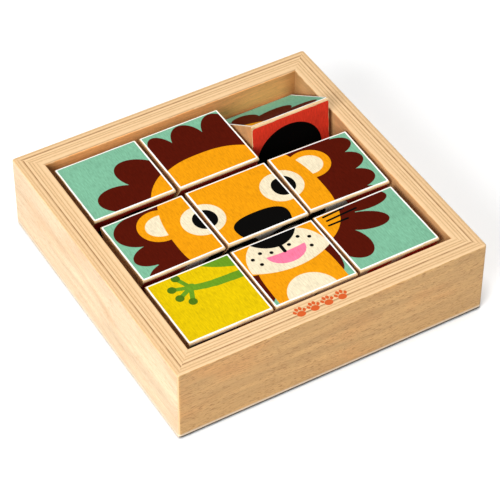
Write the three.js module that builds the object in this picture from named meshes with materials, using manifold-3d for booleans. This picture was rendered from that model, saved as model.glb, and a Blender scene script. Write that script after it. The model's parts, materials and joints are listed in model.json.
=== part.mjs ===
// Turning picture-block puzzle: nine three-sided wooden blocks on three axles, in a square plywood tray.
// Millimetres, +Z up. The origin is the centre of the underside; +X runs to the right along the front
// rail and +Y runs to the back. Row 1 is the back row and column 1 is the left column.

import * as THREE from 'three';
import { mergeVertices } from 'three/addons/utils/BufferGeometryUtils.js';
import Module from 'manifold-3d';

// ---- Driving dimensions ----

const TRAY_SIDE = 200;
const RAIL_THICKNESS = 15;
const RAIL_HEIGHT = 50;
const MITRE_GAP = 0.3;

const BASE_THICKNESS = 3;
const BASE_PROUD = 1;          // the base panel is the foot: the rails end this far above the table
const BASE_LAP = 10;           // how far the base panel reaches under each rail
const BASE_GAP = 0.3;

const PITCH = 55;              // from axle to axle, and from column to column
const BLOCK_FACE = 53;         // side of the triangle, measured to its sharp corners
const BLOCK_LENGTH = 53;
const BLOCK_EDGE_RADIUS = 1.3;
const BORE_RADIUS = 5.6;

const AXLE_RADIUS = 4;
const AXLE_HEIGHT = 34.7;      // above the table
const BORE_PLAY = 1;           // a block hangs this far below its axle's centre line
const SOCKET_RADIUS = 4.3;
const SOCKET_DEPTH = 9;
const SOCKET_END_GAP = 1;

const CURVE_SEGMENTS = 8;      // an arc gets twice this many chords

// How each block lies: turn about its axle and twist about the vertical, in degrees, and its shift
// along the axle, across it and upwards from where it hangs, in millimetres. The loose bores allow this.
const LIE = {
  block_r1_c1: { turn: 0, twist: 0, shift: [-0.2, 0.3, 0] },
  block_r1_c2: { turn: 0, twist: 0, shift: [0.5, -0.1, 0] },
  block_r1_c3: { turn: -34.5, twist: 0, shift: [0.5, -0.2, 2] },
  block_r2_c1: { turn: 0, twist: 0.5, shift: [0.8, -0.5, 0] },
  block_r2_c2: { turn: 0, twist: 0, shift: [1.1, 0, 0] },
  block_r2_c3: { turn: 0, twist: -1.3, shift: [1.4, 0.2, 0] },
  block_r3_c1: { turn: 120, twist: 0, shift: [-0.4, -0.4, 0] },
  block_r3_c2: { turn: 0, twist: -0.2, shift: [-0.6, -0.4, 0] },
  block_r3_c3: { turn: 0, twist: 0.3, shift: [-0.7, 0.3, 0] },
};

const INNER_SIDE = TRAY_SIDE - 2 * RAIL_THICKNESS;
const ROWS = ['back', 'middle', 'front'];
const wasm = await Module();
wasm.setup();

// ---- Materials ----

const wood = (color, roughness) => new THREE.MeshStandardMaterial({ color, roughness, metalness: 0 });

// ---- Joining and cutting ----

function toSolid(geometry) {
  const bare = geometry.clone();
  bare.deleteAttribute('normal');
  bare.deleteAttribute('uv');
  const merged = mergeVertices(bare);
  return new wasm.Manifold(new wasm.Mesh({
    numProp: 3,
    vertProperties: new Float32Array(merged.attributes.position.array),
    triVerts: new Uint32Array(merged.index.array),
  }));
}

function toGeometry(solid) {
  const { vertProperties, triVerts } = solid.getMesh();
  const geometry = new THREE.BufferGeometry();
  geometry.setAttribute('position', new THREE.BufferAttribute(new Float32Array(vertProperties), 3));
  geometry.setIndex(new THREE.BufferAttribute(new Uint32Array(triVerts), 1));
  geometry.computeVertexNormals();
  return geometry;
}

function cut(geometry, tools) {
  let solid = toSolid(geometry);
  for (const tool of tools) solid = solid.subtract(toSolid(tool));
  return toGeometry(solid);
}

// ---- Tray ----

function railBoard() {
  const half = TRAY_SIDE / 2;
  const innerHalf = INNER_SIDE / 2;
  const mitre = MITRE_GAP / Math.SQRT2;
  const plan = new THREE.Shape([
    new THREE.Vector2(-half + mitre, -half),
    new THREE.Vector2(half - mitre, -half),
    new THREE.Vector2(innerHalf - mitre, -innerHalf),
    new THREE.Vector2(-innerHalf + mitre, -innerHalf),
  ]);
  const board = new THREE.ExtrudeGeometry(plan, { depth: RAIL_HEIGHT, bevelEnabled: false });
  return board.translate(0, 0, BASE_PROUD);
}

function rebateTool() {
  const side = TRAY_SIDE - 2 * (RAIL_THICKNESS - BASE_LAP);
  const height = BASE_THICKNESS + BASE_GAP;
  return new THREE.BoxGeometry(side, side, height).translate(0, 0, height / 2);
}

// A blind hole in the rail's inner face, for the end of an axle.
function socketTool(x) {
  const mouth = 5;
  const length = SOCKET_DEPTH + mouth;
  const hole = new THREE.CylinderGeometry(SOCKET_RADIUS, SOCKET_RADIUS, length, 4 * CURVE_SEGMENTS);
  return hole.translate(x, -INNER_SIDE / 2 - SOCKET_DEPTH + length / 2, AXLE_HEIGHT);
}

// Every rail is made as the front rail and then carried round to its own side of the tray.
function makeRail(name, quarterTurns, holdsAxles) {
  const tools = [rebateTool()];
  if (holdsAxles) tools.push(...[-PITCH, 0, PITCH].map(socketTool));
  const rail = new THREE.Mesh(cut(railBoard(), tools), wood(0xe3b98a, 0.6));
  rail.name = name;
  rail.rotation.z = quarterTurns * Math.PI / 2;
  return rail;
}

function makeBasePanel() {
  const side = TRAY_SIDE - 2 * (RAIL_THICKNESS - BASE_LAP) - 2 * BASE_GAP;
  const panel = new THREE.Mesh(new THREE.BoxGeometry(side, side, BASE_THICKNESS), wood(0xc99a66, 0.7));
  panel.name = 'base_panel';
  panel.position.z = BASE_THICKNESS / 2;
  return panel;
}

// ---- Axles ----

function makeAxle(name, y) {
  const length = INNER_SIDE + 2 * (SOCKET_DEPTH - SOCKET_END_GAP);
  const dowel = new THREE.CylinderGeometry(AXLE_RADIUS, AXLE_RADIUS, length, 4 * CURVE_SEGMENTS);
  const axle = new THREE.Mesh(dowel.rotateZ(Math.PI / 2), wood(0xd8ac78, 0.6));
  axle.name = name;
  axle.position.set(0, y, AXLE_HEIGHT);
  return axle;
}

// ---- Picture blocks ----

// Section of a block: an equilateral triangle about its centre, one side up, with rounded corners.
function blockSection() {
  const toArcCentre = BLOCK_FACE / Math.sqrt(3) - 2 * BLOCK_EDGE_RADIUS;
  const section = new THREE.Shape();
  for (const corner of [-90, 30, 150].map(THREE.MathUtils.degToRad)) {
    const x = toArcCentre * Math.cos(corner);
    const y = toArcCentre * Math.sin(corner);
    section.absarc(x, y, BLOCK_EDGE_RADIUS, corner - Math.PI / 3, corner + Math.PI / 3, false);
  }
  const bore = new THREE.Path();
  bore.absarc(0, 0, BORE_RADIUS, 0, Math.PI, false);
  bore.absarc(0, 0, BORE_RADIUS, Math.PI, 2 * Math.PI, false);
  section.holes.push(bore);
  return section;
}

// The section's own axes become Y and Z, and it is extruded along X.
function blockGeometry() {
  const options = { depth: BLOCK_LENGTH, bevelEnabled: false, curveSegments: CURVE_SEGMENTS };
  const prism = new THREE.ExtrudeGeometry(blockSection(), options).translate(0, 0, -BLOCK_LENGTH / 2);
  const toLengthwise = new THREE.Matrix4().makeBasis(
    new THREE.Vector3(0, 1, 0), new THREE.Vector3(0, 0, 1), new THREE.Vector3(1, 0, 0));
  return prism.applyMatrix4(toLengthwise);
}

function makeBlock(row, column) {
  const name = `block_r${row}_c${column}`;
  const { turn, twist, shift } = LIE[name];
  const block = new THREE.Mesh(blockGeometry(), wood(0xefc795, 0.55));
  block.name = name;
  block.rotation.x = THREE.MathUtils.degToRad(turn);
  const cradle = new THREE.Group().add(block);
  cradle.rotation.z = THREE.MathUtils.degToRad(twist);
  cradle.position.set((column - 2) * PITCH, (2 - row) * PITCH, AXLE_HEIGHT - BORE_PLAY);
  cradle.position.add(new THREE.Vector3(...shift));
  return cradle;
}

// ---- Assembly ----

const puzzle = new THREE.Group();
puzzle.name = 'turning_block_puzzle';

puzzle.add(
  makeRail('rail_front', 0, false),
  makeRail('rail_right', 1, true),
  makeRail('rail_back', 2, false),
  makeRail('rail_left', 3, true),
  makeBasePanel(),
);

ROWS.forEach((place, index) => {
  const row = new THREE.Group();
  row.add(makeAxle(`axle_${place}_row`, (1 - index) * PITCH));
  for (const column of [1, 2, 3]) row.add(makeBlock(index + 1, column));
  puzzle.add(row);
});

export default puzzle;
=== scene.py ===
import json
import math

import bpy
from bpy.props import FloatProperty, FloatVectorProperty, PointerProperty
from mathutils import Matrix, Quaternion, Vector


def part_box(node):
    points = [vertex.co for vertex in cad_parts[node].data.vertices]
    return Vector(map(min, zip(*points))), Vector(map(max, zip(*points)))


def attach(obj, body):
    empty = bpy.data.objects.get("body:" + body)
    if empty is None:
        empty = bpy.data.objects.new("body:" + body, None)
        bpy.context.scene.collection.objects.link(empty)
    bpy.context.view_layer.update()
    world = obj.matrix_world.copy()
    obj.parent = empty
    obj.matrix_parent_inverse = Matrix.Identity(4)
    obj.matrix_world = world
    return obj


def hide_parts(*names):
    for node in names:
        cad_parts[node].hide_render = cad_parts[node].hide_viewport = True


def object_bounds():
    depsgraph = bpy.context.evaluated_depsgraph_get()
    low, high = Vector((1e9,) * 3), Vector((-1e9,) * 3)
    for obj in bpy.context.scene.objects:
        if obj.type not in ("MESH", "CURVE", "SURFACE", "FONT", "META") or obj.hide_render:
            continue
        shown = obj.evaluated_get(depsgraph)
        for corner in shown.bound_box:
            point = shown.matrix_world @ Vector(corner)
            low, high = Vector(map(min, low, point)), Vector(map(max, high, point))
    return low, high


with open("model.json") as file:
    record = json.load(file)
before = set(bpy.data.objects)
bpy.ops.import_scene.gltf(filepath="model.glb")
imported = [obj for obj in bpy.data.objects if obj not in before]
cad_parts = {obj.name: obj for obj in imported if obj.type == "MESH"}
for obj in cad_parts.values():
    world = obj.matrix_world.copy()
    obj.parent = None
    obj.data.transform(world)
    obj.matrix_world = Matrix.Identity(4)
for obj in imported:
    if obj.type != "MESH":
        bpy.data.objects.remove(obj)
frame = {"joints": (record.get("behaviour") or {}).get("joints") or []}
CAD_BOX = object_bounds()

bl_info = {
    "name": "Turning picture-block puzzle",
    "version": (1, 0, 0),
    "blender": (4, 5, 0),
    "location": "View3D > Sidebar > Block puzzle",
    "description": "Nine three-sided picture blocks on three axles in a square plywood tray",
    "category": "Object",
}

MM = 0.001

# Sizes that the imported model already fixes, in metres.
TRAY_HALF = CAD_BOX[1].x
RAIL_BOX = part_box("rail_front")
RAIL_THICKNESS = 0.015
RAIL_FOOT, RAIL_TOP = RAIL_BOX[0].z, RAIL_BOX[1].z
INNER_HALF = TRAY_HALF - RAIL_THICKNESS
BASE_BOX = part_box("base_panel")
AXLE_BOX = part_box("axle_middle_row")
AXLE_HEIGHT = (AXLE_BOX[0].z + AXLE_BOX[1].z) / 2
BLOCK_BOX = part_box("block_r2_c2")
BLOCK_LENGTH = BLOCK_BOX[1].x - BLOCK_BOX[0].x
HINGES = {joint["child"]: joint for joint in frame["joints"]}

BLOCK_SIDE = 0.053           # side of the block's triangle, to its sharp corners
BORE_RADIUS = 0.0056
SOCKET_RADIUS = 0.0043
SOCKET_DEPTH = 0.009
AXLE_PITCH = 0.055
REBATE_GAP = 0.0003          # play between the base panel and its rebate
SPARE = 0.01                 # how far a blank or a cutter reaches past the piece
LONG_EDGE = 0.01             # an edge that spans more than this runs along a board or a block
HAIR = 1e-5                  # slack for picking edges by their place

# Blocks that lie turned about their axle, in degrees. The others lie with the lion up.
TURNED = {"block_r1_c3": -34.5, "block_r3_c1": 120.0}

# The picture tiles, in millimetres: one picture is three tiles wide and three high.
TILE_WIDTH, TILE_HEIGHT = 53.0, 49.8
UV_HEIGHT = 54.0             # height that the tile's own UV map spans
TILE_CORNER = 1.3
TILE_EDGE = 0.05             # half the soft edge of the print, in millimetres
FACE_ANGLES = {"lion": 90.0, "panda": 210.0, "frog": 330.0}

# Half width and half height of each picture's print on a tile, and its white border.
PRINTS = {"lion": ((26.4, 24.9), 0.95), "frog": ((26.4, 24.9), 0.95), "panda": ((26.3, 24.4), 0.0)}

# The stage.
FLOOR_RADIUS = 6.0
FLOOR_DROP = 0.00005         # the floor lies a hair below the base panel
SKY_TINT = (1.0, 0.985, 0.965, 1.0)
KEY_FROM, TOP_FROM = (-0.80, -0.40, 0.45), (0.0, 0.0, 1.0)
LOOKED_AT = Vector((-4.5, -13.7, 25.5)) * MM
SENSOR_MM = 36.0


# ---- Settings ----

def number(name, description, default, **limits):
    return FloatProperty(name=name, description=description, default=default, **limits)


def length(name, description, default):
    return number(name, description, default, min=0.0, subtype="DISTANCE", unit="LENGTH")


def angle(name, description, degrees):
    return number(name, description, math.radians(degrees), subtype="ANGLE")


def colour(name, description, default):
    return FloatVectorProperty(name=name, description=description, default=default, size=3,
                               min=0.0, max=1.0, subtype="COLOR")


class TraySettings(bpy.types.PropertyGroup):
    """Edges and woods of the tray"""
    corner_radius: length("Corner radius", "Rounding of the tray's upright corners", 1.9 * MM)
    rim_radius: length("Rim radius", "Rounding of the rim's outer edge", 1.2 * MM)
    inner_radius: length("Inner edge", "Easing of the rim's inner edge", 0.5 * MM)
    foot_radius: length("Foot radius", "Rounding along the foot of each rail", 0.4 * MM)
    mitre_gap: length("Mitre gap", "Gap left in each mitre joint", 0.04 * MM)
    base_chamfer: length("Base chamfer", "Chamfer round the base panel", 0.4 * MM)
    dowel_chamfer: length("Dowel chamfer", "Chamfer on each end of an axle", 0.8 * MM)
    # Painted light and shade in the veneers: the front veneer is darker than the side veneer as
    # painted shade on the rails' outer fronts,
    # and the shaded veneer is painted shade on the inner faces of the side rails.
    # the inside veneer is brighter as painted light on the inner faces of the front and back
    # rails,
    veneer_front_painted_shade: colour("Front veneer", "Beech veneer of the front and back rails",
                         (0.56, 0.33, 0.125))
    veneer_side: colour("Side veneer", "Beech veneer of the left and right rails",
                        (0.70, 0.52, 0.335))
    veneer_inside_painted_light: colour("Inside veneer", "Inner faces of the front and back rails",
                          (0.98, 0.45, 0.155))
    veneer_shaded: colour("Shaded veneer", "Inner faces of the rails that hold the axles",
                          (0.62, 0.33, 0.14))
    # Also the colour of the painted shade in the tray's inner corners.
    fleck_and_corner_shade: colour("Fleck", "Dark flecks and pores of the beech", (0.30, 0.14, 0.04))
    warm: colour("Warm patch", "Warmer patches of the beech", (0.62, 0.28, 0.085))
    # Painted highlight: the pale band just above the foot of each rail stands in for light bounced
    # up from the floor.
    painted_foot_highlight: colour("Painted foot highlight", "Painted highlight along the foot of a rail", (0.66, 0.56, 0.43))
    # Painted shadow: a near-black line along the foot of each rail, standing in for the shade
    # under the rail.
    painted_foot_shadow: colour("Painted foot shadow", "Painted shadow along the very foot of a rail", (0.02, 0.014, 0.009))
    ply_pale: colour("Pale ply", "Palest wood along the plywood's edge", (0.74, 0.51, 0.285))
    ply_tan: colour("Tan ply", "Darker plies along the plywood's edge", (0.53, 0.325, 0.145))
    ply_glue: colour("Glue line", "Glue line between two plies", (0.24, 0.115, 0.04))
    # Painted shade: the base panel is made very dark so that the gaps between the blocks read as
    # shade.
    base_wood_painted_shade: colour("Base wood", "Thin plywood of the base panel", (0.115, 0.06, 0.032))
    dowel_wood: colour("Dowel wood", "Beech of the axles", (0.68, 0.44, 0.24))
    stamp: colour("Stamp", "Paw prints stamped on the front rail", (0.54, 0.078, 0.004))


class BlockSettings(bpy.types.PropertyGroup):
    """Edges, wood and inks of the picture blocks"""
    edge_offset: length("Long edges", "How far in the rounding of a long edge begins", 2.56 * MM)
    end_bevel: length("End edges", "Easing round each end and each bore", 0.28 * MM)
    beech: colour("Beech", "Bare wood of the blocks", (0.76, 0.55, 0.31))
    beech_end: colour("End grain", "Sawn ends of the blocks", (0.58, 0.30, 0.12))
    beech_dark: colour("Dark beech", "Pores of the blocks' wood", (0.30, 0.14, 0.05))
    border: colour("Border", "White border of a picture tile", (0.86, 0.85, 0.83))
    teal: colour("Teal", "Ground of the lion picture", (0.165, 0.385, 0.252))
    mane: colour("Mane", "Lion's mane", (0.070, 0.0045, 0.001))
    orange: colour("Orange", "Lion's coat", (0.68, 0.262, 0.003))
    cream: colour("Cream", "Lion's muzzle, ears and eyes", (0.70, 0.61, 0.43))
    black: colour("Black", "Noses, pupils and whiskers", (0.0016, 0.0014, 0.0012))
    pink: colour("Pink", "Lion's mouth", (0.80, 0.165, 0.28))
    yellow: colour("Yellow", "Ground of the frog picture", (0.60, 0.42, 0.001))
    green: colour("Green", "Frog's skin", (0.110, 0.250, 0.012))
    leaf: colour("Dark green", "Frog's toe pads and back", (0.060, 0.137, 0.006))
    red: colour("Red", "Ground of the panda picture", (0.72, 0.042, 0.020))


class StageSettings(bpy.types.PropertyGroup):
    """Floor, lights and camera"""
    floor: colour("Floor", "Paper that the tray stands on", (0.95, 0.95, 0.95))
    sky: number("Sky", "Strength of the light from all round", 0.15, min=0.0)
    key_power: number("Key light", "Power of the soft light at the left", 55.0, min=0.0,
                      unit="POWER")
    key_size: length("Key size", "Side of the soft light at the left", 1.4)
    top_power: number("Top light", "Power of the soft light overhead", 42.0, min=0.0,
                      unit="POWER")
    top_size: length("Top size", "Side of the soft light overhead", 1.3)
    light_distance: length("Light distance", "From the tray to each soft light", 2.2)
    lens: number("Lens", "Focal length on a 36 mm sensor, in millimetres", 164.4, min=1.0)
    distance: length("Distance", "From the camera to the point it looks at", 1.319)
    azimuth: angle("Azimuth", "Where the camera stands round the tray", -30.55)
    elevation: angle("Elevation", "How far the camera looks down", 44.36)
    roll: angle("Roll", "Tilt of the camera about its own line", 0.25)


# ---- Modelling, as by hand ----

def start_clean():
    """Nothing is selected and nothing is in edit mode."""
    if bpy.context.object and bpy.context.object.mode != "OBJECT":
        bpy.ops.object.mode_set(mode="OBJECT")
    bpy.ops.object.select_all(action="DESELECT")


def take(piece):
    start_clean()
    piece.select_set(True)
    bpy.context.view_layer.objects.active = piece


def settle(piece):
    """Puts the piece's place, turn and size into its mesh."""
    take(piece)
    bpy.ops.object.transform_apply(location=True, rotation=True, scale=True)


def add_board(name, low, high):
    """A square board between two corners."""
    start_clean()
    low, high = Vector(low), Vector(high)
    bpy.ops.mesh.primitive_cube_add(size=1, location=(low + high) / 2, scale=high - low)
    board = bpy.context.object
    board.name = board.data.name = name
    settle(board)
    return board


def add_dowel(name, radius, length_, centre, towards, sides=40):
    """A round bar along the given direction."""
    start_clean()
    turn = Vector(towards).to_track_quat("Z", "Y").to_euler()
    bpy.ops.mesh.primitive_cylinder_add(vertices=sides, radius=radius, depth=length_,
                                        location=centre, rotation=turn)
    dowel = bpy.context.object
    dowel.name = dowel.data.name = name
    settle(dowel)
    return dowel


def pick_edges(piece, wanted):
    """Opens the piece in edit mode with only the wanted edges selected."""
    take(piece)
    bpy.ops.object.mode_set(mode="EDIT")
    bpy.ops.mesh.select_mode(type="EDGE")
    bpy.ops.mesh.select_all(action="DESELECT")
    bpy.ops.object.mode_set(mode="OBJECT")
    points = piece.data.vertices
    found = 0
    for edge in piece.data.edges:
        edge.select = wanted(*(points[i].co for i in edge.vertices))
        found += edge.select
    if not found:
        raise RuntimeError(f"{piece.name} has no such edge")
    bpy.ops.object.mode_set(mode="EDIT")


def ease_edges(piece, wanted, offset, segments):
    """Bevels the wanted edges, rounded where there is more than one segment."""
    pick_edges(piece, wanted)
    bpy.ops.mesh.bevel(offset=offset, offset_type="OFFSET", segments=segments, profile=0.5,
                       affect="EDGES")
    bpy.ops.object.mode_set(mode="OBJECT")


def saw(piece, point, outward):
    """Cuts the piece on a plane and throws away the side that outward points to."""
    take(piece)
    bpy.ops.object.mode_set(mode="EDIT")
    bpy.ops.mesh.select_all(action="SELECT")
    bpy.ops.mesh.bisect(plane_co=point, plane_no=outward, use_fill=True, clear_outer=True)
    bpy.ops.object.mode_set(mode="OBJECT")


def combine(piece, tool, operation):
    """Cuts the tool out of the piece, or keeps what both hold, and throws the tool away."""
    take(piece)
    cut = piece.modifiers.new("cut", "BOOLEAN")
    cut.operation = operation
    cut.solver = "EXACT"
    cut.object = tool
    bpy.ops.object.modifier_apply(modifier=cut.name)
    spent = tool.data
    bpy.data.objects.remove(tool)
    bpy.data.meshes.remove(spent)


def tidy_mesh(piece, ease=None):
    """Closes the seams, eases what sharp edges are left if asked, and smooths the shading."""
    take(piece)
    bpy.ops.object.mode_set(mode="EDIT")
    bpy.ops.mesh.select_all(action="SELECT")
    bpy.ops.mesh.remove_doubles(threshold=1e-6)
    bpy.ops.mesh.dissolve_limited(angle_limit=math.radians(0.5))
    bpy.ops.mesh.normals_make_consistent(inside=False)
    bpy.ops.object.mode_set(mode="OBJECT")
    if ease:
        bevel = piece.modifiers.new("eased", "BEVEL")
        bevel.width, bevel.segments = ease, 2
        bevel.limit_method, bevel.angle_limit = "ANGLE", math.radians(50)
        bpy.ops.object.modifier_apply(modifier=bevel.name)
    bpy.ops.object.shade_smooth_by_angle(angle=math.radians(40))
    weighted = piece.modifiers.new("weighted", "WEIGHTED_NORMAL")
    weighted.keep_sharp = True
    bpy.ops.object.modifier_apply(modifier=weighted.name)


def copy_piece(piece, name, place):
    """A copy with its own mesh, carried to its place."""
    copy = piece.copy()
    copy.data = piece.data.copy()
    copy.name = copy.data.name = name
    bpy.context.scene.collection.objects.link(copy)
    copy.matrix_world = place
    settle(copy)
    return copy


def fit_in(piece, node, body):
    """The piece stands for its CAD node and moves with the node's body."""
    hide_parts(node)
    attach(piece, body)


# ---- Node trees ----

class Bench:
    """Puts nodes into one tree and joins them up."""

    def __init__(self, tree):
        self.tree = tree

    def feed(self, socket, value):
        if isinstance(value, bpy.types.NodeSocket):
            self.tree.links.new(value, socket)
        elif value is not None:
            if socket.type == "RGBA" and len(value) == 3:
                value = (*value, 1.0)
            socket.default_value = value

    def fill(self, sockets, **feeds):
        """Feeds sockets by name, with _ for a space."""
        for name, value in feeds.items():
            self.feed(sockets[name.replace("_", " ")], value)

    def put(self, kind, *feeds, **settings):
        node = self.tree.nodes.new(kind)
        for name, value in settings.items():
            setattr(node, name, value)
        for socket, value in zip(node.inputs, feeds):
            self.feed(socket, value)
        return node

    def sum(self, operation, *feeds, clamp=False):
        return self.put("ShaderNodeMath", *feeds, operation=operation, use_clamp=clamp).outputs[0]

    def times(self, first, second):
        return self.sum("MULTIPLY", first, second)

    def plus(self, first, second, clamp=False):
        return self.sum("ADD", first, second, clamp=clamp)

    def minus(self, first, second):
        return self.sum("SUBTRACT", first, second)

    def vector(self, operation, *feeds):
        node = self.put("ShaderNodeVectorMath", *feeds, operation=operation)
        plain = operation in ("LENGTH", "DOT_PRODUCT")
        return node.outputs["Value" if plain else "Vector"]

    def split(self, vector):
        return self.put("ShaderNodeSeparateXYZ", vector).outputs

    def join(self, x, y, z=0.0):
        return self.put("ShaderNodeCombineXYZ", x, y, z).outputs[0]

    def step(self, value, start, end, smooth=True):
        """0 at start and below, 1 at end and above, or the other way round."""
        kind = "SMOOTHSTEP" if smooth else "LINEAR"
        node = self.put("ShaderNodeMapRange", value, start, end, 0.0, 1.0, interpolation_type=kind)
        return node.outputs[0]

    def mix(self, factor, first, second, blend="MIX"):
        node = self.put("ShaderNodeMix", factor, data_type="RGBA", blend_type=blend)
        self.feed(node.inputs[6], first)
        self.feed(node.inputs[7], second)
        return node.outputs[2]

    def noise(self, vector, scale, detail=2.0, roughness=0.5, distortion=0.0):
        node = self.put("ShaderNodeTexNoise", noise_dimensions="3D")
        self.fill(node.inputs, Vector=vector, Scale=scale, Detail=detail, Roughness=roughness,
                  Distortion=distortion)
        return node.outputs["Fac"]

    def ramp(self, value, stops):
        """A value to a grey, through (position, grey) stops."""
        node = self.put("ShaderNodeValToRGB", value)
        scale = node.color_ramp
        while len(scale.elements) < len(stops):
            scale.elements.new(1.0)
        for element, (place, grey) in zip(scale.elements, stops):
            element.position = place
            element.color = (grey, grey, grey, 1.0)
        return node.outputs[0]

    def group(self, tree, **feeds):
        node = self.put("ShaderNodeGroup", node_tree=tree)
        self.fill(node.inputs, **feeds)
        return node.outputs


def node_group(inputs, outputs):
    """Makes a function into a node group, which it builds the first time it is asked for.

    Sockets are given as words: a name, with _ for a space, and its kind, V for a vector.
    The function is handed a bench and the inputs, and returns what goes to the outputs.
    """
    def socket(tree, word, side):
        label, _, kind = word.partition(":")
        kind = "NodeSocketVector" if kind == "V" else "NodeSocketFloat"
        tree.interface.new_socket(name=label.replace("_", " "), in_out=side, socket_type=kind)

    def wrap(make):
        def built():
            ready = bpy.data.node_groups.get(make.__name__)
            if ready:
                return ready
            tree = bpy.data.node_groups.new(make.__name__, "ShaderNodeTree")
            for side, words in (("INPUT", inputs), ("OUTPUT", outputs)):
                for word in words.split():
                    socket(tree, word, side)
            b = Bench(tree)
            given = b.put("NodeGroupInput").outputs[:-1]
            results = make(b, *given)
            if isinstance(results, bpy.types.NodeSocket):
                results = [results]
            for out, result in zip(b.put("NodeGroupOutput").inputs, results):
                b.feed(out, result)
            return tree
        return built
    return wrap


INK_EDGE = 0.09              # half the soft edge of an ink shape, in millimetres


@node_group("Point:V Centre:V Half_Size:V Turn", "Mask")
def oval_mask(b, point, centre, half_size, turn):
    """1 inside a turned oval, all in millimetres."""
    turned = b.put("ShaderNodeVectorRotate", rotation_type="Z_AXIS")
    b.fill(turned.inputs, Vector=point, Center=centre, Angle=b.times(turn, -1.0))
    off = b.vector("SUBTRACT", turned.outputs[0], centre)
    share = b.vector("LENGTH", b.vector("DIVIDE", off, half_size))
    half = b.split(half_size)
    reach = b.times(b.minus(1.0, share), b.sum("MINIMUM", half[0], half[1]))
    return b.step(reach, -INK_EDGE, INK_EDGE)


@node_group("Point:V Centre:V Half_Width Up Down Power_Up Power_Down", "Mask")
def egg_mask(b, point, centre, half_width, up, down, power_up, power_down):
    """1 inside an upright rounded shape whose upper and lower halves differ."""
    off = b.split(b.vector("SUBTRACT", point, centre))
    above = b.sum("GREATER_THAN", off[1], 0.0)
    below = b.minus(1.0, above)
    tall = b.plus(b.times(above, up), b.times(below, down))
    power = b.plus(b.times(above, power_up), b.times(below, power_down))
    across = b.sum("DIVIDE", b.sum("ABSOLUTE", off[0]), half_width)
    along = b.sum("DIVIDE", b.sum("ABSOLUTE", off[1]), tall)
    total = b.plus(b.sum("POWER", across, power), b.sum("POWER", along, power))
    share = b.sum("POWER", total, b.sum("DIVIDE", 1.0, power))
    return b.step(b.times(b.minus(1.0, share), half_width), -INK_EDGE, INK_EDGE)


@node_group("Point:V Start:V End:V Radius", "Mask")
def stroke_mask(b, point, start, end, radius):
    """1 inside a straight stroke with round ends."""
    run = b.vector("SUBTRACT", end, start)
    off = b.vector("SUBTRACT", point, start)
    share = b.sum("DIVIDE", b.vector("DOT_PRODUCT", off, run), b.vector("DOT_PRODUCT", run, run),
                  clamp=True)
    scaled = b.put("ShaderNodeVectorMath", run, operation="SCALE")
    b.fill(scaled.inputs, Scale=share)
    gap = b.vector("LENGTH", b.vector("SUBTRACT", off, scaled.outputs["Vector"]))
    return b.step(b.minus(radius, gap), -INK_EDGE, INK_EDGE)


@node_group("Point:V Half_Size:V Corner", "Inside")
def tile_reach(b, point, half_size, corner):
    """How far inside a round-cornered tile a point is, in millimetres."""
    core = b.vector("SUBTRACT", half_size, b.join(corner, corner))
    over = b.split(b.vector("SUBTRACT", b.vector("ABSOLUTE", point), core))
    outside = b.vector("LENGTH", b.join(b.sum("MAXIMUM", over[0], 0.0),
                                        b.sum("MAXIMUM", over[1], 0.0)))
    within = b.sum("MINIMUM", b.sum("MAXIMUM", over[0], over[1]), 0.0)
    return b.minus(corner, b.plus(outside, within))


@node_group("Point:V Seed", "Tone Warmth Flecks Fibres End_Pores")
def beech_figure(b, point, seed):
    """Solid beech with its grain along X: slow tone, warm patches, short flecks, fine fibres."""
    place = b.vector("ADD", point, b.join(seed, seed, seed))
    x, y, z = b.split(place)
    slow = b.vector("MULTIPLY", place, (0.011, 0.02, 0.02))
    drift = b.times(b.noise(slow, 1.0, detail=1.0), 14.0)

    def stretched(along, across, slant=0.0):
        """The grain's own coordinates, drifting a little and slanted against the board."""
        lean = b.plus(b.times(x, slant), drift)
        return b.join(b.times(x, along), b.times(b.plus(y, lean), across),
                      b.times(b.plus(z, lean), across))

    bands = b.noise(stretched(0.012, 0.16), 1.0, detail=3.0, roughness=0.55, distortion=0.4)
    lines = b.noise(stretched(0.03, 1.1), 1.0, detail=2.0, roughness=0.6)
    tone = b.step(b.plus(b.times(bands, 0.6), b.times(lines, 0.4)), 0.34, 0.66, smooth=False)
    warmth = b.step(b.noise(stretched(0.022, 0.05), 1.0, detail=2.0), 0.47, 0.72)
    short = b.noise(stretched(0.26, 1.8, slant=0.04), 1.0, detail=1.0, roughness=0.4)
    fine = b.noise(stretched(0.45, 2.6, slant=0.04), 1.0, detail=1.0, roughness=0.5)
    patch = b.step(b.noise(stretched(0.05, 0.12), 1.0, detail=2.0), 0.35, 0.7, smooth=False)
    large = b.step(b.plus(short, b.times(patch, 0.05)), 0.615, 0.70)
    flecks = b.sum("MAXIMUM", large, b.times(b.step(fine, 0.58, 0.70), 0.7))
    fibres = b.noise(stretched(0.14, 5.0), 1.0, detail=3.0, roughness=0.65)
    pores = b.put("ShaderNodeTexVoronoi", feature="F1")
    b.fill(pores.inputs, Vector=b.join(b.times(x, 0.4), y, z), Scale=2.6)
    return tone, warmth, flecks, fibres, b.step(pores.outputs["Distance"], 0.34, 0.14)


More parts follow.
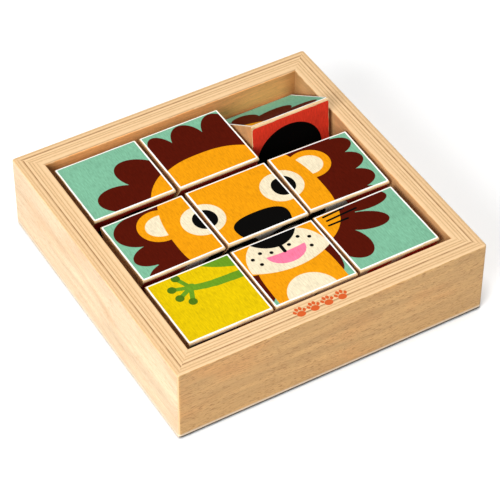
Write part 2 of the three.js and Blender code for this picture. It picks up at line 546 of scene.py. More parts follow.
@node_group("Depth Point:V Seed", "Pale Glue Fibres")
def ply_edge(b, depth, point, seed):
    """The plies seen on a plywood edge: how pale each one is, its glue lines and its fibres."""
    x, y, z = b.split(b.vector("ADD", point, b.join(seed, seed, 0.0)))
    waver = b.noise(b.join(b.times(x, 0.02), depth, z), 0.35, detail=2.0)
    depth = b.plus(depth, b.times(b.minus(waver, 0.5), 0.5))
    board = RAIL_THICKNESS / MM

    def across_board(*stops):
        """A grey that goes by the depth into the board, in millimetres."""
        return b.ramp(b.sum("DIVIDE", depth, board), [(at / board, grey) for at, grey in stops])

    def fibres_seen(along, across):
        return b.noise(b.join(b.times(x, along), b.times(y, across), z), 1.0, detail=3.0,
                       roughness=0.65)

    plies = across_board(
        (0.0, 0.80), (0.8, 0.30), (1.3, 0.60), (1.9, 0.70), (2.6, 0.30), (3.1, 0.50),
        (4.0, 0.90), (4.6, 0.45), (5.1, 0.20), (5.6, 0.45), (6.1, 0.95), (6.7, 1.00),
        (7.5, 0.30), (8.1, 0.75), (8.7, 0.65), (9.2, 0.25), (9.7, 0.80), (10.4, 0.95),
        (11.2, 0.45), (11.8, 0.65), (12.6, 0.90), (13.6, 1.00), (14.2, 0.75), (15.0, 0.45))
    cross = across_board(
        (0.7, 0.0), (1.1, 1.0), (3.5, 1.0), (3.9, 0.0), (7.0, 0.0), (7.4, 1.0), (9.2, 1.0),
        (9.6, 0.0), (10.7, 0.0), (11.0, 1.0), (12.0, 1.0), (12.4, 0.0))
    fibres = b.plus(b.times(cross, fibres_seen(0.55, 1.6)),
                    b.times(b.minus(1.0, cross), fibres_seen(0.07, 2.2)))
    shade = b.times(b.minus(fibres, 0.5), 1.8)
    line = across_board(
        (0.55, 0.0), (0.85, 0.40), (1.15, 0.0), (2.3, 0.0), (2.6, 0.45), (2.9, 0.0),
        (4.25, 0.0), (4.5, 0.40), (4.75, 0.0), (4.8, 0.0), (5.05, 1.0), (5.4, 1.0), (5.65, 0.0),
        (7.15, 0.0), (7.45, 0.60), (7.75, 0.0), (8.9, 0.0), (9.2, 0.50), (9.5, 0.0),
        (10.9, 0.0), (11.2, 0.45), (11.5, 0.0), (14.4, 0.0), (14.9, 0.5))
    gaps = b.noise(b.join(b.times(x, 0.16), y, z), 1.0, detail=3.0, roughness=0.6)
    broken = b.step(gaps, 0.30, 0.56, smooth=False)
    glue = b.times(line, b.plus(0.35, b.times(broken, 0.65)))
    return b.plus(plies, shade, clamp=True), glue, fibres


@node_group("Point:V", "Mottle Fibres")
def ink_film(b, point):
    """How evenly the ink lies: a slow mottle, and streaks of the wood's fibres across it."""
    spot = b.noise(point, 0.55, detail=4.0, roughness=0.7)
    cloud = b.noise(point, 0.06, detail=2.0)
    streaks = b.vector("MULTIPLY", point, (1.5, 0.22, 1.0))
    return (b.plus(b.times(spot, 0.6), b.times(cloud, 0.4)),
            b.noise(streaks, 1.0, detail=3.0, roughness=0.6))


@node_group("Inside Point:V Width", "Worn")
def edge_wear(b, inside, point, width):
    """Where handling has worn an edge: ragged, and gone a little way in."""
    ragged = b.noise(point, 0.9, detail=4.0, roughness=0.75)
    patchy = b.step(b.noise(point, 0.11, detail=1.0), 0.42, 0.62)
    limit = b.times(width, b.times(ragged, patchy))
    return b.step(b.minus(limit, inside), -0.05, 0.05)


# ---- Printed shapes ----
# In millimetres from the middle of the picture that they are part of.

def oval(x, y, half_x, half_y, turn=0.0):
    return oval_mask, dict(Centre=(x, y, 0), Half_Size=(half_x, half_y, 1),
                           Turn=math.radians(turn))


def egg(x, y, half_width, up, down, power_up=2.0, power_down=2.0):
    return egg_mask, dict(Centre=(x, y, 0), Half_Width=half_width, Up=up, Down=down,
                          Power_Up=power_up, Power_Down=power_down)


def stroke(x1, y1, x2, y2, radius):
    return stroke_mask, dict(Start=(x1, y1, 0), End=(x2, y2, 0), Radius=radius)


def mask_of(b, point, shape):
    """The mask of one shape of a picture."""
    make, feeds = shape
    return b.group(make(), Point=point, **feeds)[0]


# ---- Materials ----

def new_material(name):
    material = bpy.data.materials.new(name)
    material.use_nodes = True
    material.node_tree.nodes.clear()
    b = Bench(material.node_tree)
    shader = b.put("ShaderNodeBsdfPrincipled")
    b.feed(b.put("ShaderNodeOutputMaterial").inputs["Surface"], shader.outputs[0])
    return material, b, shader


def darker(colour_, share):
    return tuple(share * c for c in colour_)


def bumped(b, height, distance):
    bump = b.put("ShaderNodeBump")
    b.fill(bump.inputs, Strength=1.0, Distance=distance, Height=height)
    return bump.outputs[0]


def in_millimetres(b, turn=0.0):
    """Object coordinates in millimetres, turned so that every rail reads as the front rail."""
    place = b.put("ShaderNodeTexCoord").outputs["Object"]
    mapping = b.put("ShaderNodeMapping", place, None, (0.0, 0.0, turn), (1000.0,) * 3,
                    vector_type="POINT")
    return mapping.outputs[0]


def paw_stamps(b, point):
    """A short row of paw prints along the middle of the front rail's top."""
    pitch, count, middle, forward = 8.8, 4, -5.4, 91.9
    x, y, z = b.split(point)
    shifted = b.minus(x, middle - pitch * count / 2)
    cell = b.minus(b.sum("FLOORED_MODULO", shifted, pitch), pitch / 2)
    spot = b.join(cell, b.plus(y, forward))
    pads = [oval(0, -1.4, 2.6, 2.05), oval(-3, 0.75, 0.95, 1.3, 22),
            oval(-1.13, 2.45, 1.02, 1.4, 6), oval(1.13, 2.45, 1.02, 1.4, -6),
            oval(3, 0.75, 0.95, 1.3, -22)]
    mask = 0.0
    for pad in pads:
        mask = b.sum("MAXIMUM", mask, mask_of(b, spot, pad))
    in_row = b.times(b.sum("GREATER_THAN", shifted, 0.0),
                     b.sum("LESS_THAN", shifted, pitch * count))
    on_top = b.sum("GREATER_THAN", z, RAIL_TOP / MM - 0.1)
    return b.times(mask, b.times(in_row, on_top))


# Where the marks on a rail fade in and are full, in millimetres.
SKIN = (0.42, 0.22)          # how deep the face veneer goes before the plies show
# Painted highlight: the pale band above the foot fades in and is full at these heights.
FOOT_HIGHLIGHT_BAND = (3.1, 2.0)          # pale band above the foot
# Painted shadow: the dark line along the foot of a rail fades in and is full at these heights.
FOOT_SHADOW_BAND = (1.3, 1.05)         # dark line along the foot
# Painted shade: the inner faces of the rails darken within this reach of the tray's inner corners.
CORNER_SHADE = 12.0          # reach of the darker wood in the tray's inner corners


def plywood_rail(name, turn, *, seed, shift, veneer, inside, flecks, warmth, foot_shadow_share,
                 stamped=False):
    """Lacquered beech plywood: veneered faces, and the plies on the top edge."""
    tray = bpy.context.scene.block_tray
    material, b, shader = new_material(name)
    point = in_millimetres(b, turn)
    x, y, z = b.split(point)
    depth = b.plus(y, TRAY_HALF / MM)
    rim = RAIL_THICKNESS / MM
    plies = b.group(ply_edge(), Depth=b.minus(depth, shift), Point=point, Seed=seed)
    beech = b.group(beech_figure(), Point=point, Seed=seed)
    edge = b.mix(plies["Pale"], tray.ply_tan, tray.ply_pale)
    edge = b.mix(b.times(b.step(plies["Fibres"], 0.56, 0.70), 0.5), edge, tray.warm)
    edge = b.mix(plies["Glue"], edge, tray.ply_glue)
    outside = b.step(depth, 0.6 * rim, 0.4 * rim)
    face = b.mix(outside, inside, veneer)
    warm_share = b.times(beech["Warmth"], b.times(outside, warmth))
    face = b.mix(warm_share, face, tray.warm)
    tone = b.minus(1.10, b.times(beech["Tone"], 0.34))
    face = b.mix(1.0, face, b.join(tone, tone, tone), blend="MULTIPLY")
    fibre = b.step(beech["Fibres"], 0.3, 0.7, smooth=False)
    face = b.mix(b.times(fibre, 0.16), face, tray.fleck_and_corner_shade)
    fleck_share = b.times(b.plus(0.25, b.times(outside, 0.75)), flecks)
    face = b.mix(b.times(beech["Flecks"], fleck_share), face, tray.fleck_and_corner_shade)
    # Painted shade: the inner faces darken towards the tray's inner corners, in the fleck colour.
    inner_half = INNER_HALF / MM
    corner = b.step(b.sum("ABSOLUTE", x), inner_half - CORNER_SHADE, inner_half)
    corner = b.times(corner, b.minus(1.0, outside))
    face = b.mix(b.times(corner, 0.55), face, tray.fleck_and_corner_shade)
    skin = b.sum("MINIMUM", depth, b.minus(rim, depth))
    on_face = b.step(skin, *SKIN)
    base = b.mix(on_face, edge, face)
    above_foot = b.minus(z, RAIL_FOOT / MM)
    # Painted highlight: a pale band above the foot on each rail's outer face.
    painted_foot_highlight = b.times(b.step(above_foot, *FOOT_HIGHLIGHT_BAND), outside)
    base = b.mix(b.times(painted_foot_highlight, 0.8), base, tray.painted_foot_highlight)
    # Painted shadow: darkens the lowest part of each rail's outer face.
    foot_shadow_mask = b.times(b.step(above_foot, *FOOT_SHADOW_BAND), outside)
    base = b.mix(b.times(foot_shadow_mask, foot_shadow_share), base, tray.painted_foot_shadow)
    if stamped:
        stamp = paw_stamps(b, point)
        film = b.group(ink_film(), Point=point)
        cover = b.times(stamp, b.step(film["Mottle"], 0.95, 0.6))
        base = b.mix(cover, base, tray.stamp)
    top_gap = b.minus(RAIL_TOP / MM, z)
    lip = b.sum("MAXIMUM", skin, top_gap)
    worn = b.group(edge_wear(), Inside=lip, Point=point, Width=1.6)["Worn"]
    base = b.mix(b.times(worn, 0.35), base, tray.ply_pale)
    grain = b.mix(on_face, plies["Fibres"], beech["Fibres"])
    rough = b.plus(0.44, b.times(grain, 0.22))
    rough = b.plus(rough, b.times(b.minus(1.0, on_face), 0.08))
    pits = b.plus(b.times(beech["Flecks"], on_face), plies["Glue"])
    height = b.minus(b.times(grain, 0.6), b.times(pits, 0.3))
    b.fill(shader.inputs, Base_Color=base, Roughness=rough, Specular_IOR_Level=0.35,
           Normal=bumped(b, height, 0.09 * MM))
    return material


def plain_beech(name, wood, ends, dark, seed):
    """Bare beech with its grain along X, and end grain where it faces along X."""
    material, b, shader = new_material(name)
    point = in_millimetres(b)
    beech = b.group(beech_figure(), Point=point, Seed=seed)
    side = b.mix(beech["Tone"], wood, darker(wood, 0.78))
    side = b.mix(b.times(beech["Flecks"], 0.45), side, dark)
    side = b.mix(b.times(b.step(beech["Fibres"], 0.3, 0.75), 0.18), side, dark)
    end = b.mix(beech["Tone"], ends, darker(ends, 0.8))
    end = b.mix(b.times(beech["End Pores"], 0.4), end, dark)
    normal = b.split(b.put("ShaderNodeNewGeometry").outputs["Normal"])
    on_end = b.step(b.sum("ABSOLUTE", normal[0]), 0.5, 0.8)
    height = b.minus(b.times(beech["Fibres"], 0.6),
                     b.times(b.mix(on_end, beech["Flecks"], beech["End Pores"]), 0.5))
    b.fill(shader.inputs, Base_Color=b.mix(on_end, side, end), Specular_IOR_Level=0.35,
           Roughness=b.plus(0.5, b.times(beech["Fibres"], 0.25)),
           Normal=bumped(b, height, 0.12 * MM))
    return material


def base_plywood():
    """Thin plywood: a sanded face with its grain along Y, and three plies round the edge."""
    tray = bpy.context.scene.block_tray
    material, b, shader = new_material("base_plywood")
    point = in_millimetres(b)
    turned = in_millimetres(b, math.pi / 2)
    beech = b.group(beech_figure(), Point=turned, Seed=310.0)
    # Painted shade: the very dark base wood stands in for the shade in the gaps between the
    # blocks.
    face = b.mix(beech["Tone"], tray.base_wood_painted_shade, darker(tray.base_wood_painted_shade, 0.74))
    face = b.mix(b.times(beech["Flecks"], 0.4), face, tray.fleck_and_corner_shade)
    z = b.split(point)[2]
    ply = b.step(b.sum("ABSOLUTE", b.minus(z, 1.5)), 0.62, 0.5)
    b.fill(shader.inputs, Base_Color=b.mix(ply, face, darker(tray.base_wood_painted_shade, 0.55)),
           Roughness=b.plus(0.6, b.times(beech["Fibres"], 0.2)),
           Normal=bumped(b, beech["Fibres"], 0.12 * MM))
    return material


# ---- Pictures ----
# Each is a list of an ink and a shape, laid one over another. A second shape keeps the ink to
# its own inside, and a third keeps the ink out.

def lion_shapes():
    """A lion's head with a lobed mane."""
    lobes = [
        (-36, 46, 18, 12, 132), (-55, 33, 16, 11, 162), (-18, 56, 15.5, 8, 100),
        (-1.2, 57, 16.2, 10.5, 90), (18.5, 58, 15.5, 10, 82), (35, 50, 16, 8.5, 74),
        (48, 38, 17, 10, 35), (60, 28, 15, 7, 14), (64.5, 15.5, 13, 7.5, 5),
        (64, 1.5, 13, 8.3, 0), (62.5, -14, 13, 8.5, -3), (57, -27, 16.5, 7, -8),
        (50, -41, 15.5, 7.5, -20), (34.3, -53, 14.6, 10.3, -68), (-61, 11, 16, 13, 176),
        (-63, -9.5, 13.5, 8.5, 183), (-60, -29, 16, 11, 176), (-50, -42, 15.5, 8, 202),
        (-28, -56, 16.5, 9.5, 262),
    ]
    shapes = [("mane", oval(0, 2, 63, 57)), ("mane", oval(20, -54, 5.5, 15)),
              ("mane", oval(-60, -17.6, 6, 2.6))]
    shapes += [("mane", oval(*lobe)) for lobe in lobes]
    shapes += [
        ("orange", egg(-0.85, -85, 22.3, 45, 40, 6, 2)),
        ("cream", oval(-1.8, -76.3, 15.6, 16.5)),
        ("orange", oval(-50, 8.8, 13.3, 13)), ("cream", oval(-48.5, 8.3, 10.3, 8.6)),
        ("orange", oval(46, 10, 13.2, 12)), ("cream", oval(45, 9.7, 9.3, 8)),
        ("orange", egg(-2.65, -12.5, 47, 58, 37.6, 2.5, 2.5)),
        ("cream", oval(-27.2, 0.5, 12.2, 12.2)), ("black", oval(-26.2, 0.2, 6.3, 7.4)),
        ("cream", oval(24, 1.9, 12.3, 12.3)), ("black", oval(24.9, 1.7, 6.3, 7.5)),
        ("cream", egg(0.5, -47, 25.2, 25, 14, 2.2, 4), oval(0.8, -1.9, 51.3, 51.3)),
        ("pink", oval(1, -39, 12.5, 9.7), None, oval(1, 0, 60, 39.7)),
        ("black", stroke(0.4, -33, 0.4, -39.4, 1.1)),
        ("black", egg(0.2, -17.5, 17.5, 8.6, 17, 2.5, 1.9)),
    ]
    for x, y in [(-18.9, -36.7), (-12.8, -34.2), (-6.8, -36.7), (-16.2, -42.3),
                 (5.1, -36), (12.7, -32.8), (18.5, -36), (16, -42.8)]:
        shapes.append(("black", oval(x, y, 1.2, 1.2)))
    for side in (1, -1):
        shapes += [("black", stroke(31.6 * side, -27.5, 45.5 * side, -26.5, 0.7)),
                   ("black", stroke(32 * side, -31.1, 52 * side, -30.2, 0.7)),
                   ("black", stroke(31 * side, -34.9, 43.6 * side, -35, 0.7))]
    return shapes


def frog_shapes():
    """A frog that holds out its arms."""
    shapes = [
        ("green", egg(0, -48, 25.5, 30, 40, 2.2, 2.2)),
        ("green", oval(-24, 30, 16, 18)), ("green", oval(24, 30, 16, 18)),
        ("green", oval(0, -2, 58, 38)),
        ("border", oval(-24, 32, 11, 12)), ("border", oval(24, 32, 11, 12)),
        ("black", oval(-22, 31, 5, 6)), ("black", oval(26, 31, 5, 6)),
        ("yellow", oval(0, -50, 17, 19)),
        ("red", oval(0, -8, 30, 12), None, oval(0, 12, 60, 20)),
        ("black", oval(-5, 10, 1.2, 1.6)), ("black", oval(5, 10, 1.2, 1.6)),
    ]
    arm = [(20, -42.5, 2.9), (34, -41.9, 2.75), (44, -41.3, 2.5), (50, -40.4, 2.35),
           (55, -39.1, 2.3), (57.5, -37.9, 2.3)]
    for side in (1, -1):
        shapes += [("green", stroke(x1 * side, y1, x2 * side, y2, thick))
                   for (x1, y1, thick), (x2, y2, _) in zip(arm, arm[1:])]
        shapes.append(("green", oval(57.6 * side, -37.9, 3.3, 2.9)))
        for x, y in [(61.9, -27.8), (67.9, -34.7), (67, -42.4), (61.8, -48)]:
            shapes += [("green", stroke(57.6 * side, -37.9, x * side, y, 1.4)),
                       ("leaf", oval(x * side, y, 2.6, 2.6))]
    return shapes


def panda_shapes():
    """A panda's face."""
    shapes = []
    for side in (1, -1):
        shapes.append(("black", oval(51.5 * side, 45.3, 22.6, 22.6)))
    shapes.append(("border", egg(0, -8, 58, 52, 46, 2.4, 2.6)))
    for side in (1, -1):
        shapes += [("black", oval(21 * side, 11, 17, 21, -25 * side)),
                   ("border", oval(18 * side, 10, 6, 6)),
                   ("black", oval(18 * side, 10, 3.3, 3.3))]
    shapes += [
        ("black", egg(0, -17, 9, 5.5, 8, 2.2, 1.9)),
        ("black", stroke(0, -24, 0, -31, 0.8)),
        ("pink", oval(0, -31, 13, 9), None, oval(0, 8, 60, 39.5)),
        ("red", oval(40, -28, 8, 6)), ("red", oval(-40, -28, 8, 6)),
    ]
    return shapes


def picture_print(name, ground, shapes, half_size, border):
    """One picture printed on beech blocks, tile by tile."""
    inks = bpy.context.scene.picture_blocks
    material, b, shader = new_material(name)
    wood_point = in_millimetres(b)
    tile_uv = b.put("ShaderNodeUVMap", uv_map="tile").outputs[0]
    picture_uv = b.put("ShaderNodeUVMap", uv_map="picture").outputs[0]
    middle = (0.5, 0.5, 0.0)
    spot = b.vector("MULTIPLY", b.vector("SUBTRACT", tile_uv, middle),
                    (TILE_WIDTH, UV_HEIGHT, 0.0))
    point = b.vector("MULTIPLY", b.vector("SUBTRACT", picture_uv, middle),
                     (3 * TILE_WIDTH, 3 * TILE_HEIGHT, 0.0))
    paint = ground
    for ink, shape, *limits in shapes:
        mask = mask_of(b, point, shape)
        if limits and limits[0]:
            mask = b.times(mask, mask_of(b, point, limits[0]))
        if len(limits) > 1:
            mask = b.times(mask, b.minus(1.0, mask_of(b, point, limits[1])))
        paint = b.mix(mask, paint, getattr(inks, ink))
    film = b.group(ink_film(), Point=point)
    mottle = b.plus(0.35, b.plus(b.times(film["Mottle"], 0.45), b.times(film["Fibres"], 0.85)))
    paint = b.mix(1.0, paint, b.join(mottle, mottle, mottle), blend="MULTIPLY")

    inside = b.group(tile_reach(), Point=spot, Half_Size=(*half_size, 0.0),
                     Corner=TILE_CORNER)["Inside"]
    ragged = b.times(b.minus(film["Fibres"], 0.5), 0.12)
    inside = b.plus(inside, ragged)
    worn = b.group(edge_wear(), Inside=inside, Point=wood_point, Width=0.55)["Worn"]
    printed = b.times(b.step(inside, -TILE_EDGE, TILE_EDGE), b.minus(1.0, worn))
    if border:
        paint = b.mix(b.step(inside, border - 0.08, border + 0.08), inks.border, paint)
    beech = b.group(beech_figure(), Point=wood_point, Seed=57.0)
    wood = b.mix(b.times(beech["Tone"], 0.7), inks.beech, darker(inks.beech, 0.8))
    wood = b.mix(b.times(beech["Flecks"], 0.4), wood, inks.beech_dark)
    wood = b.mix(b.times(b.step(beech["Fibres"], 0.3, 0.75), 0.15), wood, inks.beech_dark)
    bare = b.plus(0.52, b.times(beech["Fibres"], 0.25))
    ink = b.plus(0.50, b.times(film["Mottle"], 0.18))
    level = b.plus(b.times(film["Fibres"], 0.5), b.times(film["Mottle"], 0.35))
    height = b.plus(level, b.times(b.step(inside, -0.12, 0.12), 0.35))
    b.fill(shader.inputs, Base_Color=b.mix(printed, wood, paint),
           Roughness=b.mix(printed, bare, ink), Specular_IOR_Level=0.03,
           Normal=bumped(b, height, 0.08 * MM))
    return material


# ---- Operators ----

class PUZZLE_OT_rails(bpy.types.Operator):
    """Make the four mitred plywood rails of the tray"""
    bl_idname = "puzzle.rails"
    bl_label = "Rails"

    def execute(self, context):
        tray = context.scene.block_tray
        foot, top = RAIL_FOOT, RAIL_TOP
        block = add_board("tray_outline", (-TRAY_HALF, -TRAY_HALF, foot),
                          (TRAY_HALF, TRAY_HALF, top))
        ease_edges(block, lambda a, b: abs(a.z - b.z) > LONG_EDGE, tray.corner_radius, 6)
        at_foot = foot + HAIR
        ease_edges(block, lambda a, b: a.z < at_foot and b.z < at_foot, tray.foot_radius, 4)
        at_top = top - HAIR
        ease_edges(block, lambda a, b: a.z > at_top and b.z > at_top, tray.rim_radius, 4)

        rail = add_board("rail", (-TRAY_HALF - SPARE, -TRAY_HALF - SPARE, foot - SPARE),
                         (TRAY_HALF + SPARE, -INNER_HALF, top + SPARE))
        gap = tray.mitre_gap / 2
        saw(rail, (-TRAY_HALF + gap, -TRAY_HALF, 0), (-1, 1, 0))
        saw(rail, (TRAY_HALF - gap, -TRAY_HALF, 0), (1, 1, 0))
        combine(rail, block, "INTERSECT")
        reach = BASE_BOX[1].x + REBATE_GAP
        rebate = add_board("rebate", (-reach, -reach, -SPARE),
                           (reach, reach, BASE_BOX[1].z + REBATE_GAP))
        combine(rail, rebate, "DIFFERENCE")
        at_rim = -INNER_HALF - HAIR
        ease_edges(rail, lambda a, b: min(a.z, b.z) > at_top and min(a.y, b.y) > at_rim,
                   tray.inner_radius, 3)
        holed = copy_piece(rail, "holed_rail", Matrix())
        bit_middle = -INNER_HALF - SOCKET_DEPTH + SPARE
        for x in (-AXLE_PITCH, 0.0, AXLE_PITCH):
            bit = add_dowel("bit", SOCKET_RADIUS, 2 * SPARE, (x, bit_middle, AXLE_HEIGHT),
                            (0, 1, 0))
            combine(holed, bit, "DIFFERENCE")
        for made in (rail, holed):
            tidy_mesh(made)

        # The front and inside veneers carry painted shade and painted light; the side rails'
        # inside veneer is painted shade.
        lengthwise = dict(veneer=tray.veneer_front_painted_shade, inside=tray.veneer_inside_painted_light, flecks=0.78,
                          foot_shadow_share=1.0)
        # The foot share is the strength of the painted shadow along the foot: full on the front
        # and back rails, faint on the side rails.
        crosswise = dict(veneer=tray.veneer_side, inside=tray.veneer_shaded, flecks=0.3, foot_shadow_share=0.12,
                         warmth=0.3)
        looks = {
            "front": (rail, dict(lengthwise, seed=0.0, shift=1.3, warmth=0.45, stamped=True)),
            "right": (holed, dict(crosswise, seed=410.0, shift=0.6)),
            "back": (rail, dict(lengthwise, seed=835.0, shift=-0.9, warmth=0.6)),
            "left": (holed, dict(crosswise, seed=1270.0, shift=0.0)),
        }
        for quarter, (side, (pattern, look)) in enumerate(looks.items()):
            turn = quarter * math.pi / 2
            piece = copy_piece(pattern, f"tray_rail_{side}", Matrix.Rotation(turn, 4, "Z"))
            piece.data.materials.append(plywood_rail(f"beech_plywood_{side}", -turn, **look))
            fit_in(piece, f"rail_{side}", "tray")
        bpy.data.objects.remove(rail)
        bpy.data.objects.remove(holed)
        return {"FINISHED"}


class PUZZLE_OT_base(bpy.types.Operator):
    """Make the thin plywood base panel"""
    bl_idname = "puzzle.base"
    bl_label = "Base panel"

    def execute(self, context):
        panel = add_board("tray_base", *BASE_BOX)
        ease_edges(panel, lambda a, b: True, context.scene.block_tray.base_chamfer, 2)
        tidy_mesh(panel)
        panel.data.materials.append(base_plywood())
        fit_in(panel, "base_panel", "tray")
        return {"FINISHED"}


class PUZZLE_OT_axles(bpy.types.Operator):
    """Make the three dowels that the blocks turn on"""
    bl_idname = "puzzle.axles"
    bl_label = "Axles"

    def execute(self, context):
        tray = context.scene.block_tray
        low, high = AXLE_BOX
        radius, reach = (high.z - low.z) / 2, high.x - low.x
        dowel = add_dowel("dowel", radius, reach, (0, 0, AXLE_HEIGHT), (1, 0, 0), sides=32)
        ease_edges(dowel, lambda a, b: abs(a.x - b.x) < HAIR, tray.dowel_chamfer, 2)
        tidy_mesh(dowel)
        wood = plain_beech("beech_dowel", tray.dowel_wood, tray.warm, tray.fleck_and_corner_shade, 640.0)
        for row, y in (("back", AXLE_PITCH), ("middle", 0.0), ("front", -AXLE_PITCH)):
            piece = copy_piece(dowel, f"dowel_{row}_row", Matrix.Translation((0, y, 0)))
            piece.data.materials.append(wood)
            fit_in(piece, f"axle_{row}_row", "tray")
        bpy.data.objects.remove(dowel)
        return {"FINISHED"}


def shape_block():
    """One three-sided block about its own middle, one face up, with its bore."""
    blocks = bpy.context.scene.picture_blocks
    start_clean()
    lengthwise = Matrix(((0, 0, 1), (-1, 0, 0), (0, -1, 0))).to_euler()
    bpy.ops.mesh.primitive_cylinder_add(vertices=3, radius=BLOCK_SIDE / math.sqrt(3),
                                        depth=BLOCK_LENGTH, rotation=lengthwise)
    block = bpy.context.object
    block.name = block.data.name = "block"
    settle(block)
    ease_edges(block, lambda a, b: abs(a.x - b.x) > LONG_EDGE, blocks.edge_offset, 6)
    combine(block, add_dowel("bit", BORE_RADIUS, 2 * BLOCK_LENGTH, (0, 0, 0), (1, 0, 0)),
            "DIFFERENCE")
    tidy_mesh(block, ease=blocks.end_bevel)
    return block


def face_of(angle):
    """The picture whose face is nearest to this angle about the axle."""
    return min(FACE_ANGLES, key=lambda name: abs((angle - FACE_ANGLES[name] + 180) % 360 - 180))


def height_on_face(point, picture):
    """How far up its picture a point of the block is, measured round the rounded edges."""
    blocks = bpy.context.scene.picture_blocks
    turn = math.radians(FACE_ANGLES[picture])
    out = point.y * math.cos(turn) + point.z * math.sin(turn)
    up = point.y * math.sin(turn) - point.z * math.cos(turn)
    flat = BLOCK_SIDE / 2 - blocks.edge_offset
    if abs(up) <= flat:
        return up
    drop = BLOCK_SIDE / (2 * math.sqrt(3)) - out
    return math.copysign(flat + math.hypot(abs(up) - flat, drop), up)


def lay_pictures(block, row, column):
    """Gives the block its materials and its two UV maps, before it is carried to its place."""
    mesh = block.data
    names = list(FACE_ANGLES)
    for name in names:
        mesh.materials.append(bpy.data.materials[f"{name}_print"])
    mesh.materials.append(bpy.data.materials["block_beech"])
    tile = mesh.uv_layers.new(name="tile")
    picture = mesh.uv_layers.new(name="picture")
    for face in mesh.polygons:
        middle = face.center
        in_bore = math.hypot(middle.y, middle.z) < BORE_RADIUS + 0.001
        on_end = abs(face.normal.x) > 0.95
        name = face_of(math.degrees(math.atan2(middle.z, middle.y)))
        face.material_index = len(names) if in_bore or on_end else names.index(name)
        for loop in face.loop_indices:
            point = mesh.vertices[mesh.loops[loop].vertex_index].co
            x, up = point.x / MM, height_on_face(point, name) / MM
            tile.data[loop].uv = (x / TILE_WIDTH + 0.5, up / UV_HEIGHT + 0.5)
            picture.data[loop].uv = ((x / TILE_WIDTH + column - 2) / 3 + 0.5,
                                     (up / TILE_HEIGHT + 2 - row) / 3 + 0.5)


class PUZZLE_OT_blocks(bpy.types.Operator):
    """Make the nine picture blocks and lay them as they are in the tray"""
    bl_idname = "puzzle.blocks"
    bl_label = "Picture blocks"

    def execute(self, context):
        inks = context.scene.picture_blocks
        plain_beech("block_beech", inks.beech, inks.beech_end, inks.beech_dark, 57.0)
        picture_print("lion_print", inks.teal, lion_shapes(), *PRINTS["lion"])
        picture_print("frog_print", inks.yellow, frog_shapes(), *PRINTS["frog"])
        picture_print("panda_print", inks.red, panda_shapes(), *PRINTS["panda"])
        pattern = shape_block()
        for row in (1, 2, 3):
            for column in (1, 2, 3):
                node = f"block_r{row}_c{column}"
                hinge = HINGES[node]
                twist = math.atan2(hinge["axis"][1], hinge["axis"][0])
                turn = math.radians(TURNED.get(node, 0.0))
                place = (Matrix.Translation(hinge["pos_m"]) @ Matrix.Rotation(twist, 4, "Z")
                         @ Matrix.Rotation(turn, 4, "X"))
                block = copy_piece(pattern, f"picture_{node}", Matrix())
                lay_pictures(block, row, column)
                block.matrix_world = place
                settle(block)
                fit_in(block, node, node)
        bpy.data.objects.remove(pattern)
        return {"FINISHED"}


def paper_floor(colour_):
    material, b, shader = new_material("floor_paper")
    tooth = b.noise(in_millimetres(b), 0.8, detail=2.0)
    b.fill(shader.inputs, Base_Color=colour_, Roughness=0.9, Specular_IOR_Level=0.1,
           Normal=bumped(b, tooth, 0.03 * MM))
    return material


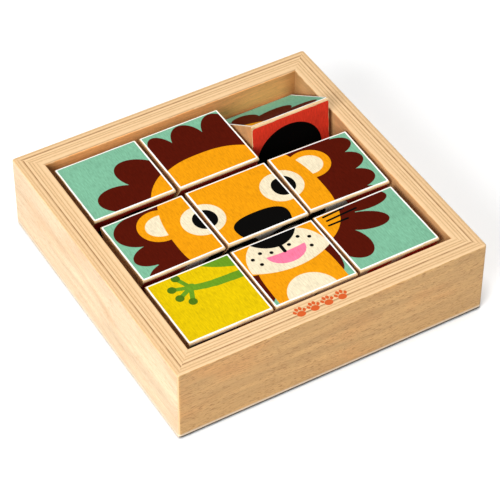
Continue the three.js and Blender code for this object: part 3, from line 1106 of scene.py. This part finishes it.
class PUZZLE_OT_stage(bpy.types.Operator):
    """Make the floor, the lights and the camera"""
    bl_idname = "puzzle.stage"
    bl_label = "Stage"

    def execute(self, context):
        stage, scene = context.scene.puzzle_stage, context.scene
        start_clean()
        bpy.ops.mesh.primitive_circle_add(vertices=96, radius=FLOOR_RADIUS, fill_type="NGON",
                                          location=(0, 0, -FLOOR_DROP))
        floor = context.object
        floor.name = floor.data.name = "floor"
        settle(floor)
        floor.data.materials.append(paper_floor(stage.floor))

        world = bpy.data.worlds.new("soft_sky")
        world.use_nodes = True
        back = world.node_tree.nodes["Background"]
        back.inputs["Color"].default_value = SKY_TINT
        back.inputs["Strength"].default_value = stage.sky
        scene.world = world

        self.hang_softbox("key_light", KEY_FROM, stage.key_size, stage.key_power)
        self.hang_softbox("top_light", TOP_FROM, stage.top_size, stage.top_power)

        a, e = stage.azimuth, stage.elevation
        back_to = Vector((math.sin(a) * math.cos(e), -math.cos(a) * math.cos(e), math.sin(e)))
        start_clean()
        bpy.ops.object.camera_add()
        camera = context.object
        camera.name = "camera"
        camera.rotation_mode = "QUATERNION"
        camera.location = LOOKED_AT + back_to * stage.distance
        roll = Quaternion((0, 0, 1), stage.roll)
        camera.rotation_quaternion = (-back_to).to_track_quat("-Z", "Y") @ roll
        camera.data.sensor_width = SENSOR_MM
        camera.data.lens = stage.lens
        camera.data.clip_start, camera.data.clip_end = 0.05, 50.0
        scene.camera = camera
        scene.view_settings.view_transform = "Standard"
        return {"FINISHED"}

    def hang_softbox(self, name, towards, side, power):
        """A square soft light that faces the tray from the given direction."""
        towards = Vector(towards).normalized()
        start_clean()
        bpy.ops.object.light_add(
            type="AREA", location=towards * bpy.context.scene.puzzle_stage.light_distance)
        light = bpy.context.object
        light.name = name
        light.rotation_euler = towards.to_track_quat("Z", "Y").to_euler()
        light.data.shape = "SQUARE"
        light.data.size = side
        light.data.energy = power


class PUZZLE_PT_sidebar(bpy.types.Panel):
    """Sizes, colours and steps of the block puzzle"""
    bl_idname = "PUZZLE_PT_sidebar"
    bl_label = "Block puzzle"
    bl_space_type = "VIEW_3D"
    bl_region_type = "UI"
    bl_category = "Block puzzle"

    def draw(self, context):
        scene = context.scene
        for settings in (scene.block_tray, scene.picture_blocks, scene.puzzle_stage):
            box = self.layout.box()
            for name in settings.__annotations__:
                box.prop(settings, name)
        for operator in OPERATORS:
            self.layout.operator(operator.bl_idname)


SETTINGS = {
    "block_tray": TraySettings,
    "picture_blocks": BlockSettings,
    "puzzle_stage": StageSettings,
}
OPERATORS = (PUZZLE_OT_stage, PUZZLE_OT_rails, PUZZLE_OT_base, PUZZLE_OT_axles, PUZZLE_OT_blocks)


def register():
    for cls in (*SETTINGS.values(), *OPERATORS, PUZZLE_PT_sidebar):
        bpy.utils.register_class(cls)
    for name, cls in SETTINGS.items():
        setattr(bpy.types.Scene, name, PointerProperty(type=cls))


def unregister():
    for name in SETTINGS:
        delattr(bpy.types.Scene, name)
    for cls in (PUZZLE_PT_sidebar, *OPERATORS, *SETTINGS.values()):
        bpy.utils.unregister_class(cls)


def main():
    register()
    bpy.ops.puzzle.stage()
    bpy.ops.puzzle.rails()
    bpy.ops.puzzle.base()
    bpy.ops.puzzle.axles()
    bpy.ops.puzzle.blocks()


if __name__ == "__main__":
    main()
